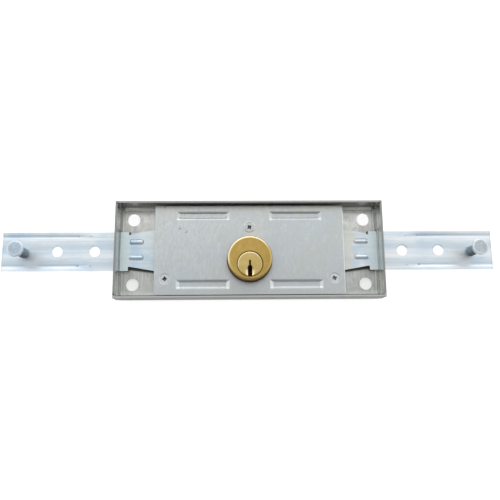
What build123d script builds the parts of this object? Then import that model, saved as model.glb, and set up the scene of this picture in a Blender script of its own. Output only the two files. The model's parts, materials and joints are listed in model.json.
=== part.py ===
from build123d import *
import os
from math import pi, cos, sin, tan, acos, sqrt, radians, degrees, atan2

# Roller shutter lock: a folded steel tray with a screwed cover, a brass pin
# tumbler cylinder with an eccentric plug, and two slides that the key draws in
# or pushes out through a reduction gear and two racks.
#
# Frame: millimetres. X runs along the slides, Y is up across the lock, +Z
# points out of the open front of the tray. The origin is the centre of the
# tray's back face. The slides are drawn in their locked, extended place.

# ---------------------------------------------------------------- dimensions
# tray
case_w = 155.0          # along X
case_h = 56.5           # along Y
case_d = 15.0           # rim height
sheet = 1.2             # tray and cover sheet
bend_out = 3.2          # outside bend radius
corner_cut = 2.35       # corner relief of the folded blank
seam = 0.25             # gap between neighbouring walls
hole_x = 69.0           # fixing holes, half pitch along X
hole_y = 19.5           # fixing holes, half pitch along Y
hole_y0 = 0.5           # pattern centre above the tray's mid line
hole_r = 3.7
slot_half = 12.2        # end wall slots for the slides
slot_z0 = 2.2
slot_z1 = 7.4

# cover
cover_w = 110.4
cover_y0 = -26.15
cover_y1 = 26.6
cover_top = 10.0
cover_bot = cover_top - sheet
cover_corner = 1.2
pocket_x = 27.1         # centres of the four pressed pockets
pocket_yu = 20.55
pocket_yl = -20.05
pocket_len = 27.0       # flat floor
pocket_ramp = 1.9
pocket_wid = 5.2        # across, at the cover's face
pocket_side = 1.25      # run of the sloped long sides
pocket_deep = 0.9
pocket_lip = 0.3        # depth of the gentle outer part of the long slopes
pocket_step = 0.32      # run of their steep inner part
pocket_end_lip = 0.62   # the same two sizes at the pocket's ends
pocket_end_step = 0.25
screw_xy = [(0.0, 13.5), (-49.0, -16.8), (49.0, -16.8)]
screw_turn = [38.0, 4.0, 21.0]
dimple_low = 7.3        # underside of the screw dimples = top of the posts
dimple_r = 2.95
screw_head_r = 2.7
screw_r = 1.5
screw_top = 9.91

# cylinder
cyl_x, cyl_y = 0.0, -5.9
cyl_r = 12.8
cyl_face = 17.5
cyl_back = 6.9
cyl_round = 1.15        # rounding of the nose's rim
plug_y = -9.5
plug_r = 7.14
bore_r = 7.20
plug_round = 0.6
plug_back = 7.0
pin_count = 4
pin_pitch = 2.1
pin_z0 = 15.3
pin_r = 0.80
pin_hole_r = 0.85
chamber_y = 5.5         # outer end of the pin chambers
key_pin_len = [4.2, 5.2, 3.6, 4.8]
driver_len = 3.1

# slides
axis_y = 0.5            # centre line of the slides' arms
tip_x = 145.0
z0, z1 = 2.5, 4.0       # slide sheet
arm_half = 11.6
crease = 8.8            # pressed line along each edge of the arm
# section of the pressed line, from the arm's flat to its slightly raised edge
crease_line = [(-1.5, 0.0), (-1.0, -0.05), (-0.5, -0.11), (0.0, -0.11), (0.5, -0.02), (1.0, 0.10), (1.5, 0.18)]
lip_end = 100.8         # the line runs full from the tip to here
lip_fade = 93.3         # and is gone from here to the tray
arm_end = 71.3          # end of the full width inside the tray
bead_x = (62.3, 71.0)   # pressed beads in the neck: from, to
bead_ys = (6.15, -3.25)
bead_half, bead_high = 1.6, 0.75
hole_in, hole_out = 91.1, 113.0
arm_hole_r = 3.1
pin_x = 132.2
pin_y = -0.3
travel = 5.0 * pi       # 15.708, one full turn of the key

# gears
gear_y = 0.4            # axis of the reduction gear and its rack pinion
m_drive = 0.825         # drive pinion to reduction gear
z_drive, z_gear = 8, 16
m_rack = 1.0            # rack pinion to the racks
z_rack = 10
press_angle = radians(25.0)
slack = 0.08            # taken off each flank

# bridge that carries the cylinder
bridge_z0, bridge_z1 = 5.9, 6.9
cyl_screw = [(-9.9, -10.2), (9.9, -10.2)]


# ------------------------------------------------------------------- helpers
def box(x0, x1, y0, y1, za, zb):
    return Pos((x0 + x1) / 2, (y0 + y1) / 2, (za + zb) / 2) * Box(
        abs(x1 - x0), abs(y1 - y0), abs(zb - za))


def cyl(x, y, za, zb, r):
    return Pos(x, y, (za + zb) / 2) * Cylinder(r, zb - za)


def cone(x, y, za, zb, ra, rb):
    return Pos(x, y, (za + zb) / 2) * Cone(ra, rb, zb - za)


def ycyl(x, z, ya, yb, r):
    return Pos(x, (ya + yb) / 2, z) * Rot(90, 0, 0) * Cylinder(r, yb - ya)


def prism(points, za, zb):
    face = make_face(Polyline(*points, close=True))
    return extrude(Pos(0, 0, za) * face, zb - za)


def bar_x(points_yz, xa, xb):
    """Prism along X of a profile given as (y, z)."""
    face = make_face(Polyline(*[(y, z, 0) for y, z in points_yz], close=True))
    return Plane(origin=(xa, 0, 0), x_dir=(0, 1, 0), z_dir=(1, 0, 0)) * extrude(face, xb - xa)


def one(shape):
    solids = shape.solids()
    return solids[0] if len(solids) == 1 else Compound(children=list(solids))


def inv(a):
    return tan(a) - a


def gear_outline(teeth, module, r_tip, r_root, phase_deg, flank=5):
    """Closed outline of an involute gear, one tooth centred on phase_deg."""
    rp = teeth * module / 2
    rb = rp * cos(press_angle)
    half_p = (pi * module / 2 - 2 * slack) / (2 * rp)

    def half(r):
        if r <= rb:
            return half_p + inv(press_angle)
        return half_p + inv(press_angle) - inv(acos(rb / r))

    r_start = max(r_root, rb)
    radii = [r_start + (r_tip - r_start) * i / (flank - 1) for i in range(flank)]
    if r_root < rb:
        radii = [r_root] + radii
    pts = []
    for k in range(teeth):
        mid = radians(phase_deg) + 2 * pi * k / teeth
        for r in radii:
            a = mid - half(r)
            pts.append((r * cos(a), r * sin(a)))
        for r in reversed(radii):
            a = mid + half(r)
            pts.append((r * cos(a), r * sin(a)))
    return pts


def rack_line(pitch_y, direction, x_from, x_to):
    """Rack profile from x_from to x_to; teeth point along direction (+1, -1).
    A space is centred on x = 0, where the pinion has a tooth."""
    p = pi * m_rack
    tip = pitch_y + direction * 0.75 * m_rack
    root = pitch_y - direction * 1.20 * m_rack
    ht = (p / 2 - 2 * slack) / 2
    t_tip = ht - 0.75 * m_rack * tan(press_angle)
    t_root = ht + 1.20 * m_rack * tan(press_angle)
    pts = [(x_from, root)]
    ks = [k for k in range(-30, 30)
          if x_from + t_root < (k + 0.5) * p < x_to - t_root]
    for k in ks:
        c = (k + 0.5) * p
        pts += [(c - t_root, root), (c - t_tip, tip), (c + t_tip, tip), (c + t_root, root)]
    pts.append((x_to, root))
    return pts


# ---------------------------------------------------------------------- tray
def lock_case():
    w2, h2 = case_w / 2, case_h / 2
    outer = box(-w2, w2, -h2, h2, 0, case_d)
    bottom = outer.edges().filter_by_position(Axis.Z, -0.001, 0.001)
    outer = fillet(bottom, bend_out)
    inner = box(-w2 + sheet, w2 - sheet, -h2 + sheet, h2 - sheet, sheet, case_d + 5)
    low = inner.edges().filter_by_position(Axis.Z, sheet - 0.001, sheet + 0.001)
    inner = fillet(low, bend_out - sheet)
    tray = outer - inner
    for sx in (-1, 1):
        # slot for the slide, through the end wall just above the base
        tray -= box(sx * (w2 - 6.0), sx * (w2 + 2), axis_y - slot_half, axis_y + slot_half,
                    slot_z0, slot_z1)
        for sy in (-1, 1):
            # corner relief of the blank and the seam between the two walls
            cx, cy = sx * w2, sy * h2
            k = corner_cut
            tray -= prism([(cx + sx, cy + sy), (cx - sx * k, cy + sy), (cx - sx * k, cy),
                           (cx, cy - sy * k), (cx + sx, cy - sy * k)], -1, 3.6)
            tray -= box(cx - sx * (sheet + 0.02), cx + sx, cy - sy * (sheet + seam),
                        cy - sy * sheet, 3.4, case_d + 1)
            tray -= cyl(sx * hole_x, hole_y0 + sy * hole_y, -1, sheet + 1, hole_r)
    for x, y in screw_xy:
        tray -= cyl(x, y, -1, sheet + 1, 2.0)
    for x, y in stud_xy:
        tray -= cyl(x, y, -1, sheet + 1, 1.5)
    tray -= cyl(0, gear_y, -1, sheet + 1, 1.8)
    for x, y in rivet_xy:
        tray -= cyl(x, y, -1, sheet + 1, 1.5)
    return tray


# --------------------------------------------------------------------- cover
def cover_plate():
    w2 = cover_w / 2
    plate = box(-w2, w2, cover_y0, cover_y1, cover_bot, cover_top)
    plate = fillet(plate.edges().filter_by(Axis.Z), cover_corner)
    half = pocket_len / 2
    for sx in (-1, 1):
        for py in (pocket_yu, pocket_yl):
            px = sx * pocket_x
            under = make_face(Polyline(
                (px - half - pocket_ramp - 0.7, cover_bot + 0.3), (px - half - pocket_ramp - 0.7, cover_bot),
                (px - half - 0.5, cover_bot - pocket_deep), (px + half + 0.5, cover_bot - pocket_deep),
                (px + half + pocket_ramp + 0.7, cover_bot), (px + half + pocket_ramp + 0.7, cover_bot + 0.3),
                close=True))
            plate += Pos(0, py + pocket_wid / 2 + 0.6, 0) * Rot(90, 0, 0) * extrude(under, pocket_wid + 1.2)
    for sx in (-1, 1):
        for py in (pocket_yu, pocket_yl):
            # the floor is smaller than the mouth: a short steep step, then a
            # gentle slope out to the cover's face, longer at the two ends
            px = sx * pocket_x

            def section(floor, mouth, step, lip):
                up = 0.05
                out = mouth + (mouth - floor - step) * up / lip
                return [(-out, up), (-floor - step, -lip), (-floor, -pocket_deep), (floor, -pocket_deep),
                        (floor + step, -lip), (out, up)]
            across = section(pocket_wid / 2 - pocket_side, pocket_wid / 2, pocket_step, pocket_lip)
            along = section(half, half + pocket_ramp, pocket_end_step, pocket_end_lip)
            long_cut = bar_x([(py + y, cover_top + z) for y, z in across], px - half - 4, px + half + 4)
            end_face = make_face(Polyline(*[(px + x, cover_top + z) for x, z in along], close=True))
            end_cut = Pos(0, py + 5, 0) * Rot(90, 0, 0) * extrude(end_face, 10)
            plate -= long_cut & end_cut
    for x, y in screw_xy:
        plate += cone(x, y, dimple_low, cover_bot + 0.4, 2.9, 4.8)
        plate -= cone(x, y, cover_top - (dimple_r - screw_r - 0.15), cover_top, screw_r + 0.15, dimple_r)
        plate -= cyl(x, y, dimple_low - 1, cover_top, screw_r + 0.15)
        plate -= cone(x, y, cover_top - 0.12, cover_top + 0.01, dimple_r - 0.12, dimple_r + 0.35)
    plate -= cyl(cyl_x, cyl_y, cover_bot - 3, cover_top + 1, cyl_r + 0.3)
    return plate


def cover_screws():
    out = []
    for (x, y), turn in zip(screw_xy, screw_turn):
        low = 2.6
        drop = screw_head_r - screw_r
        s = cyl(x, y, low, screw_top, screw_r)
        s += cone(x, y, screw_top - 0.15 - drop, screw_top - 0.15, screw_r, screw_head_r)
        s += cyl(x, y, screw_top - 0.15, screw_top, screw_head_r)
        cut = Pos(x, y, screw_top - 0.55) * Rot(0, 0, turn) * (Box(2.9, 0.78, 1.5) + Box(0.78, 2.9, 1.5))
        cut += cone(x, y, screw_top - 1.7, screw_top + 0.1, 0.4, 1.1)
        out.append(s - cut)
    return Compound(children=[one(s) for s in out])


def cover_posts():
    out = []
    for x, y in screw_xy:
        p = cyl(x, y, sheet, dimple_low, 3.25) + cyl(x, y, 0, sheet, 2.0)
        p -= cyl(x, y, 2.2, dimple_low + 1, screw_r)
        out.append(one(p))
    return Compound(children=out)


# -------------------------------------------------------------------- slides
stud_xy = [(-29.0, 5.0), (29.0, -4.0)]


def slide(side):
    """side -1: left slide, rack above the pinion. side +1: right slide, rack below."""
    s = side
    ya = axis_y

    def m(pts):
        return [(s * -x, y) for x, y in pts] if s > 0 else pts

    # everything below is written for the left slide (x negative) and mirrored
    # in X for the right one; only the inner plate differs.
    core = crease + crease_line[0][0]
    body = box(s * tip_x, s * arm_end, ya - core, ya + core, z0, z1)
    body += box(s * (lip_fade), s * arm_end, ya - arm_half, ya + arm_half, z0, z1)
    full = [(crease + y, z1 + z) for y, z in crease_line] + [(arm_half, z1 + 0.22), (arm_half, z0 + 0.18), (crease + 0.8, z0), (core, z0)]
    flat = [(crease + y, z1) for y, z in crease_line] + [(arm_half, z1), (arm_half, z0), (crease + 0.8, z0), (core, z0)]
    for k in (-1, 1):
        a = [(ya + k * y, z) for y, z in full]
        b = [(ya + k * y, z) for y, z in flat]
        xa, xb = (-tip_x, -lip_end) if s < 0 else (lip_end, tip_x)
        body += bar_x(a, xa, xb)
        fa = make_face(Polyline(*[(s * lip_end, y, z) for y, z in a], close=True))
        fb = make_face(Polyline(*[(s * lip_fade, y, z) for y, z in b], close=True))
        body += loft([fa, fb], ruled=True)
    # neck, flared plate and rack
    if s < 0:
        rp = gear_y + z_rack * m_rack / 2
        rack = rack_line(rp, -1, -22.5, 4.5)
        inner = [(-arm_end - 1, 10.3), (-70.4, 10.3), (-70.2, 11.0), (-56.8, 13.3), (-50.5, 14.0), (-22.0, 14.0),
                 (-19.6, 9.8), (4.5, 9.8)] + rack[::-1] + [(-22.5, -2.9), (-37.0, -2.9), (-37.0, -12.4),
                 (-50.2, -12.4), (-56.8, -11.1), (-70.4, -8.7), (-arm_end - 1, -8.7)]
    else:
        rp = gear_y - z_rack * m_rack / 2
        rack = rack_line(rp, 1, -4.5, 22.5)
        inner = [(arm_end + 1, 10.3), (70.4, 10.3), (70.2, 11.0), (56.8, 13.3), (50.5, 14.0), (37.0, 14.0),
                 (37.0, 3.7), (22.5, 3.7)] + rack[::-1] + [(-4.5, -9.0), (19.6, -9.0), (22.0, -12.4),
                 (50.2, -12.4), (56.8, -11.1), (70.4, -8.7), (arm_end + 1, -8.7)]
    body += prism(inner, z0, z1)
    # two stiffening beads pressed up in the neck
    rad = (bead_half ** 2 + bead_high ** 2) / (2 * bead_high)
    zc = z1 + bead_high - rad
    xa, xb = bead_x[0] + bead_half, bead_x[1] - bead_half
    for ry in bead_ys:
        # part of a round bar with ball ends, hollow behind
        bead = Pos(s * (xa + xb) / 2, ry, zc) * Rot(0, 90, 0) * Cylinder(rad, xb - xa)
        bead += Pos(s * xa, ry, zc) * Sphere(rad)
        bead += Pos(s * xb, ry, zc) * Sphere(rad)
        bead = bead & box(s * (xa - 3), s * (xb + 3), ry - 3, ry + 3, z1 - 0.2, z1 + 2)
        body += bead
        body -= box(s * (bead_x[0] + 1), s * (bead_x[1] - 1), ry - 0.8, ry + 0.8, z0 - 0.1, z0 + 0.9)
    # holes, guide slot, relief dimples at the ends of the creases
    for hx in (hole_in, hole_out):
        body -= cyl(s * hx, ya, z0 - 1, z1 + 1, arm_hole_r)
    body -= cyl(s * pin_x, pin_y, z0 - 1, z1 + 1, 2.0)
    sx_, sy_ = stud_xy[0] if s < 0 else stud_xy[1]
    r = 2.3
    x_a, x_b = (sx_ - travel - 0.3, sx_ + 0.3) if s < 0 else (sx_ - 0.3, sx_ + travel + 0.3)
    body -= box(x_a, x_b, sy_ - r, sy_ + r, z0 - 1, z1 + 1)
    body -= cyl(x_a, sy_, z0 - 1, z1 + 1, r)
    body -= cyl(x_b, sy_, z0 - 1, z1 + 1, r)
    for k in (-1, 1):
        body -= Pos(s * lip_end, ya + k * crease, z1 + 0.25) * Sphere(0.75)
        body -= Pos(s * lip_fade, ya + k * crease, z1 + 0.25) * Sphere(0.6)
    return one(body)


def hook_pin(side):
    x = side * pin_x
    shank_top, head_top, head_r = 16.5, 18.5, 4.55
    p = cyl(x, pin_y, z1, shank_top + 0.2, 3.0)
    head = cyl(x, pin_y, shank_top, head_top, head_r)
    head = fillet(head.edges().filter_by(GeomType.CIRCLE), 0.45)
    p += head
    p += cyl(x, pin_y, z0, z1, 2.0)
    foot = cyl(x, pin_y, z0 - 0.9, z0, 3.1)
    foot = fillet(foot.edges().filter_by_position(Axis.Z, z0 - 0.91, z0 - 0.89), 0.7)
    p += foot
    return one(p)


def guide_studs():
    out = []
    for x, y in stud_xy:
        g = cyl(x, y, 0, sheet, 1.5) + cyl(x, y, sheet, 2.2, 3.2) + cyl(x, y, 2.2, 4.5, 2.0)
        head = cyl(x, y, 4.4, 5.5, 3.4)
        head = fillet(head.edges().filter_by_position(Axis.Z, 5.49, 5.51), 0.6)
        out.append(one(g + head))
    return Compound(children=out)


# --------------------------------------------------------------------- gears
def reduction_gear():
    rp = z_gear * m_drive / 2
    wheel = prism(gear_outline(z_gear, m_drive, rp + 0.8 * m_drive, rp - 1.05 * m_drive,
                               -90 + 180 / z_gear), 4.4, 5.6)
    rr = z_rack * m_rack / 2
    pin = prism(gear_outline(z_rack, m_rack, rr + 0.9 * m_rack, rr - 1.05 * m_rack, 90), 2.3, 4.2)
    g = Pos(0, gear_y, 0) * (wheel + pin + cyl(0, 0, 4.1, 4.5, 3.9) + cyl(0, 0, 2.0, 2.4, 3.2)
                             + cyl(0, 0, 5.5, 5.75, 3.2) - cyl(0, 0, 1, 7, 2.05))
    return one(g)


def gear_axle():
    a = cyl(0, gear_y, 0, sheet, 1.8) + cyl(0, gear_y, sheet, 1.9, 3.2)
    a += cyl(0, gear_y, 1.9, bridge_z0, 2.0) + cyl(0, gear_y, bridge_z0, bridge_z1, 1.4)
    return one(a)


def drive_pinion():
    rp = z_drive * m_drive / 2
    g = prism(gear_outline(z_drive, m_drive, rp + 0.8 * m_drive, rp - 1.12 * m_drive, 90), 4.35, 5.7)
    flats = cyl(0, 0, 4, 6, 1.6) & box(-1.25, 1.25, -3, 3, 4, 6)
    return one(Pos(0, plug_y, 0) * (g - flats))


# -------------------------------------------------------------------- bridge
rivet_xy = [(-5.0, -22.2), (5.0, -22.2), (-5.0, 21.3), (5.0, 21.3)]


def cylinder_bridge():
    t = bridge_z1 - bridge_z0
    lo, hi = -19.6, 18.7
    plate = box(-12.2, 12.2, lo, hi, bridge_z0, bridge_z1)
    plate -= box(-13, -8.0, lo - 1, lo + 2.2, bridge_z0 - 1, bridge_z1 + 1)
    plate -= box(8.0, 13, lo - 1, lo + 2.2, bridge_z0 - 1, bridge_z1 + 1)
    plate -= box(-13, -8.0, hi - 2.2, hi + 1, bridge_z0 - 1, bridge_z1 + 1)
    plate -= box(8.0, 13, hi - 2.2, hi + 1, bridge_z0 - 1, bridge_z1 + 1)
    b = plate
    b += box(-8.0, 8.0, lo, lo + t, sheet, bridge_z1)
    b += box(-8.0, 8.0, hi - t, hi, sheet, bridge_z1)
    b += box(-8.0, 8.0, lo - 5.0, lo + t, sheet, sheet + t)
    b += box(-8.0, 8.0, hi - t, hi + 5.0, sheet, sheet + t)
    b = fillet(b.edges().filter_by(Axis.X).filter_by_position(Axis.Z, bridge_z1 - 0.01, bridge_z1 + 0.01)
               .filter_by(lambda e: abs(e.length - 16.0) < 0.1), 0.8)
    b -= cyl(0, 13.5, bridge_z0 - 1, bridge_z1 + 1, 3.6)
    b -= cyl(0, plug_y, bridge_z0 - 1, bridge_z1 + 1, 2.65)
    b -= cyl(0, gear_y, bridge_z0 - 1, bridge_z1 + 1, 1.4)
    for x, y in cyl_screw:
        b -= cyl(x, y, bridge_z0 - 1, bridge_z1 + 1, 1.25)
    for x, y in rivet_xy:
        b -= cyl(x, y, sheet - 1, sheet + t + 1, 1.5)
    return one(b)


def bridge_rivets():
    out = []
    for x, y in rivet_xy:
        r = cyl(x, y, 0, 2.3, 1.5)
        head = cyl(x, y, 2.2, 3.1, 2.3)
        head = fillet(head.edges().filter_by_position(Axis.Z, 3.09, 3.11), 0.7)
        out.append(one(r + head))
    return Compound(children=out)


# ------------------------------------------------------------------ cylinder
pin_zs = [pin_z0 - i * pin_pitch for i in range(pin_count)]


def cylinder_body():
    b = cyl(cyl_x, cyl_y, cyl_back, cyl_face, cyl_r)
    top = b.edges().filter_by_position(Axis.Z, cyl_face - 0.01, cyl_face + 0.01)
    b = fillet(top, cyl_round)
    b -= cyl(0, plug_y, cyl_back - 1, cyl_face + 1, bore_r)
    b -= cone(0, plug_y, cyl_face - 0.35, cyl_face + 0.01, bore_r, bore_r + 0.36)
    b -= cyl(0, plug_y, cyl_back - 1, 8.0, 8.1)
    for z in pin_zs:
        b -= ycyl(0, z, plug_y + 3, chamber_y, pin_hole_r)
    b -= box(-1.3, 1.3, chamber_y, 9, 8.1, 16.2)
    for x, y in cyl_screw:
        b -= cyl(x, y, cyl_back - 1, 13.0, 1.25)
    return one(b)


def chamber_strip():
    s = box(-1.3, 1.3, chamber_y, 9, 8.1, 16.2) & cyl(cyl_x, cyl_y, 8.1, 16.2, cyl_r)
    return one(s)


def cylinder_screws():
    out = []
    for x, y in cyl_screw:
        s = cyl(x, y, 5.8, 12.4, 1.25)
        head = cyl(x, y, 4.75, bridge_z0, 2.25)
        head = fillet(head.edges().filter_by_position(Axis.Z, 4.74, 4.76), 0.5)
        s += head
        s -= box(x - 2.4, x + 2.4, y - 0.3, y + 0.3, 4.0, 5.25)
        out.append(one(s))
    return Compound(children=out)


def plug():
    p = cyl(0, plug_y, plug_back, cyl_face, plug_r)
    rim = p.edges().filter_by_position(Axis.Z, cyl_face - 0.01, cyl_face + 0.01)
    p = fillet(rim, plug_round)
    ring = cyl(0, plug_y, 7.45, 8.0, plug_r + 1) - cyl(0, plug_y, 7.4, 8.1, 6.3)
    p -= ring
    p += cyl(0, plug_y, 5.75, plug_back, 2.6)
    p += cyl(0, plug_y, 4.35, 5.8, 1.6) & box(-1.25, 1.25, plug_y - 3, plug_y + 3, 4.3, 5.85)
    # keyway: narrow above, wide below, open at the plug's lower edge
    p -= box(-0.55, 0.55, -10.5, -7.3, 8.2, cyl_face + 1)
    p -= box(-1.2, 1.2, -18, -10.4, 8.2, cyl_face + 1)
    p -= cone(0, -13.7, cyl_face - 0.85, cyl_face + 0.01, 1.2, 3.0)
    for z in pin_zs:
        p -= ycyl(0, z, -8.6, plug_y + plug_r + 1, pin_hole_r)
    return one(p)


def key_pins():
    out = []
    top = plug_y + plug_r - 0.06
    for z, ln in zip(pin_zs, key_pin_len):
        k = ycyl(0, z, top - ln, top, pin_r)
        low = k.edges().filter_by_position(Axis.Y, top - ln - 0.01, top - ln + 0.01)
        out.append(one(chamfer(low, 0.45)))
    return Compound(children=out)


def driver_pins():
    out = []
    low = plug_y + bore_r + 0.08
    for z in pin_zs:
        d = ycyl(0, z, low, low + driver_len, pin_r)
        out.append(one(chamfer(d.edges().filter_by(GeomType.CIRCLE), 0.12)))
    return Compound(children=out)


def pin_springs():
    out = []
    low = plug_y + bore_r + 0.08 + driver_len
    for z in pin_zs:
        out.append(one(ycyl(0, z, low, chamber_y, 0.72) - ycyl(0, z, low - 1, chamber_y + 1, 0.48)))
    return Compound(children=out)


def plug_clip():
    c = cyl(0, plug_y, 7.48, 7.95, 7.95) - cyl(0, plug_y, 7, 9, 6.35)
    c -= prism([(0, plug_y), (-6.0, plug_y - 10), (6.0, plug_y - 10)], 7, 9)
    return one(c)


nodes = {
    "lock_case": lock_case(),
    "cover_plate": cover_plate(),
    "cover_screws": cover_screws(),
    "cover_posts": cover_posts(),
    "left_slide": slide(-1),
    "right_slide": slide(1),
    "left_hook_pin": hook_pin(-1),
    "right_hook_pin": hook_pin(1),
    "guide_studs": guide_studs(),
    "reduction_gear": reduction_gear(),
    "gear_axle": gear_axle(),
    "drive_pinion": drive_pinion(),
    "cylinder_bridge": cylinder_bridge(),
    "bridge_rivets": bridge_rivets(),
    "cylinder_body": cylinder_body(),
    "chamber_strip": chamber_strip(),
    "cylinder_screws": cylinder_screws(),
    "plug": plug(),
    "key_pins": key_pins(),
    "driver_pins": driver_pins(),
    "pin_springs": pin_springs(),
    "plug_clip": plug_clip(),
}

os.makedirs("parts", exist_ok=True)
for name, shape in nodes.items():
    export_step(one(shape) if not isinstance(shape, Compound) or len(shape.solids()) == 1 else shape,
                "parts/%s.step" % name)
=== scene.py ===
import json
import math

import bpy
from mathutils import Matrix, Vector

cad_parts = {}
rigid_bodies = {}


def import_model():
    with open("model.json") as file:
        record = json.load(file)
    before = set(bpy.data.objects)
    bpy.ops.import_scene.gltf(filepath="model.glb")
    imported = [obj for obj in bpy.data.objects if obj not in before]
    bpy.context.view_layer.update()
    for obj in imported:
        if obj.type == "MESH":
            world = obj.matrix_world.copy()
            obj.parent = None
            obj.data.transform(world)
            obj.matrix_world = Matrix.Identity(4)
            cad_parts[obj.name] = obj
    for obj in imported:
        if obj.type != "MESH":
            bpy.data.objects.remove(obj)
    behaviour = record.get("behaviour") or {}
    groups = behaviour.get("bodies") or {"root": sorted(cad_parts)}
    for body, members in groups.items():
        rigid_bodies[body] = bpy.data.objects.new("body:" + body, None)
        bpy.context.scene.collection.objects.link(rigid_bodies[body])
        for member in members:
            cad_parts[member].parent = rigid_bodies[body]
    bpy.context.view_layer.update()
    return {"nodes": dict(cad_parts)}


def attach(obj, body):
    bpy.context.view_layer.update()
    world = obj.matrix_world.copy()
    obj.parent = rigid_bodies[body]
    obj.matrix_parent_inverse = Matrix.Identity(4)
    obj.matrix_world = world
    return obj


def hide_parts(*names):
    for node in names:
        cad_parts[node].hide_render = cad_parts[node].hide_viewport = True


for stray in list(bpy.data.objects):
    bpy.data.objects.remove(stray, do_unlink=True)

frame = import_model()
nodes = frame["nodes"]


scene = bpy.context.scene

# ------------------------------------------------------------------ camera
# The view of the photograph: nearly straight down onto the open front.
F_PX, TH, PSI, RHO = 562.6, 10.93, -1.39, -0.25
AIM = Vector((0.000305, 0.000450, 0.0070))
DIST = 0.33036

cam_data = bpy.data.cameras.new("camera")
cam = bpy.data.objects.new("camera", cam_data)
scene.collection.objects.link(cam)
turn = (Matrix.Rotation(math.radians(TH), 3, "X")
        @ Matrix.Rotation(math.radians(PSI), 3, "Y")
        @ Matrix.Rotation(math.radians(RHO), 3, "Z"))
cam.matrix_world = Matrix.Translation(AIM + turn @ Vector((0, 0, DIST))) @ turn.to_4x4()
cam_data.sensor_width = 36.0
cam_data.sensor_fit = "HORIZONTAL"
cam_data.lens = 36.0 * F_PX / 500.0
cam_data.clip_start = 0.01
cam_data.clip_end = 20.0
scene.camera = cam

# ------------------------------------------------------------- node helpers


class Mat:
    """A small builder for procedural materials."""

    def __init__(self, name):
        self.mat = bpy.data.materials.new(name)
        self.mat.use_nodes = True
        self.nt = self.mat.node_tree
        self.nt.nodes.clear()
        self.out = self.nt.nodes.new("ShaderNodeOutputMaterial")
        self.bsdf = self.nt.nodes.new("ShaderNodeBsdfPrincipled")
        self.nt.links.new(self.bsdf.outputs[0], self.out.inputs[0])
        self.pos = self.nt.nodes.new("ShaderNodeTexCoord").outputs["Object"]

    def link(self, a, b):
        if isinstance(a, (int, float)):
            b.default_value = a
        elif isinstance(a, (tuple, list)):
            b.default_value = tuple(a) + (1.0,) * (len(b.default_value) - len(a))
        else:
            self.nt.links.new(a, b)

    def scaled(self, sx, sy, sz, offset=(0, 0, 0), source=None):
        n = self.nt.nodes.new("ShaderNodeMapping")
        n.vector_type = "POINT"
        n.inputs["Location"].default_value = offset
        n.inputs["Scale"].default_value = (sx, sy, sz)
        self.link(source or self.pos, n.inputs["Vector"])
        return n.outputs[0]

    def noise(self, vec, scale=1.0, detail=3.0, rough=0.55, distort=0.0):
        n = self.nt.nodes.new("ShaderNodeTexNoise")
        n.inputs["Scale"].default_value = scale
        n.inputs["Detail"].default_value = detail
        n.inputs["Roughness"].default_value = rough
        n.inputs["Distortion"].default_value = distort
        self.link(vec, n.inputs["Vector"])
        return n.outputs["Fac"]

    def voronoi(self, vec, scale, feature="F1", out="Distance"):
        n = self.nt.nodes.new("ShaderNodeTexVoronoi")
        n.feature = feature
        n.inputs["Scale"].default_value = scale
        self.link(vec, n.inputs["Vector"])
        return n.outputs[out]

    def ramp(self, fac, stops):
        n = self.nt.nodes.new("ShaderNodeValToRGB")
        els = n.color_ramp.elements
        while len(els) > 1:
            els.remove(els[-1])
        for i, (p, c) in enumerate(stops):
            e = els[0] if i == 0 else els.new(p)
            e.position = p
            e.color = tuple(c) + (1.0,) if len(c) == 3 else c
        self.link(fac, n.inputs["Fac"])
        return n.outputs["Color"]

    def span(self, v, a, b, c=0.0, d=1.0, smooth=False):
        n = self.nt.nodes.new("ShaderNodeMapRange")
        n.clamp = True
        n.interpolation_type = "SMOOTHSTEP" if smooth else "LINEAR"
        for k, x in zip(("From Min", "From Max", "To Min", "To Max"), (a, b, c, d)):
            n.inputs[k].default_value = x
        self.link(v, n.inputs["Value"])
        return n.outputs["Result"]

    def math(self, op, a, b=None, c=None):
        n = self.nt.nodes.new("ShaderNodeMath")
        n.operation = op
        self.link(a, n.inputs[0])
        if b is not None:
            self.link(b, n.inputs[1])
        if c is not None:
            self.link(c, n.inputs[2])
        return n.outputs[0]

    def xyz(self, vec=None):
        n = self.nt.nodes.new("ShaderNodeSeparateXYZ")
        self.link(vec or self.pos, n.inputs[0])
        return n.outputs[0], n.outputs[1], n.outputs[2]

    def bump(self, height, strength=0.3, distance=0.0001, normal=None):
        n = self.nt.nodes.new("ShaderNodeBump")
        n.inputs["Strength"].default_value = strength
        n.inputs["Distance"].default_value = distance
        self.link(height, n.inputs["Height"])
        if normal is not None:
            self.link(normal, n.inputs["Normal"])
        return n.outputs[0]

    def set(self, **kw):
        for k, v in kw.items():
            self.link(v, self.bsdf.inputs[k.replace("_", " ")])
        return self


def mix_color(m, fac, a, b, mode="MIX"):
    n = m.nt.nodes.new("ShaderNodeMix")
    n.data_type = "RGBA"
    n.blend_type = mode
    m.link(fac, n.inputs[0])
    m.link(a, n.inputs[6])
    m.link(b, n.inputs[7])
    return n.outputs[2]


# --------------------------------------------------------------- materials
MM = 0.001


def grain(m, along, fine, length, detail=2.0):
    """Fine parallel rolling marks. along is the axis they run in; fine and length are their pitch and length in metres."""
    s = [1 / fine, 1 / fine, 1 / fine]
    s["XYZ".index(along)] = 1 / length
    return m.noise(m.scaled(*s), 1.0, detail, 0.6)


def radius_about(m, cx, cy):
    x, y, z = m.xyz()
    dx = m.math("SUBTRACT", x, cx)
    dy = m.math("SUBTRACT", y, cy)
    return m.math("SQRT", m.math("ADD", m.math("MULTIPLY", dx, dx), m.math("MULTIPLY", dy, dy))), dx, dy


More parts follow.
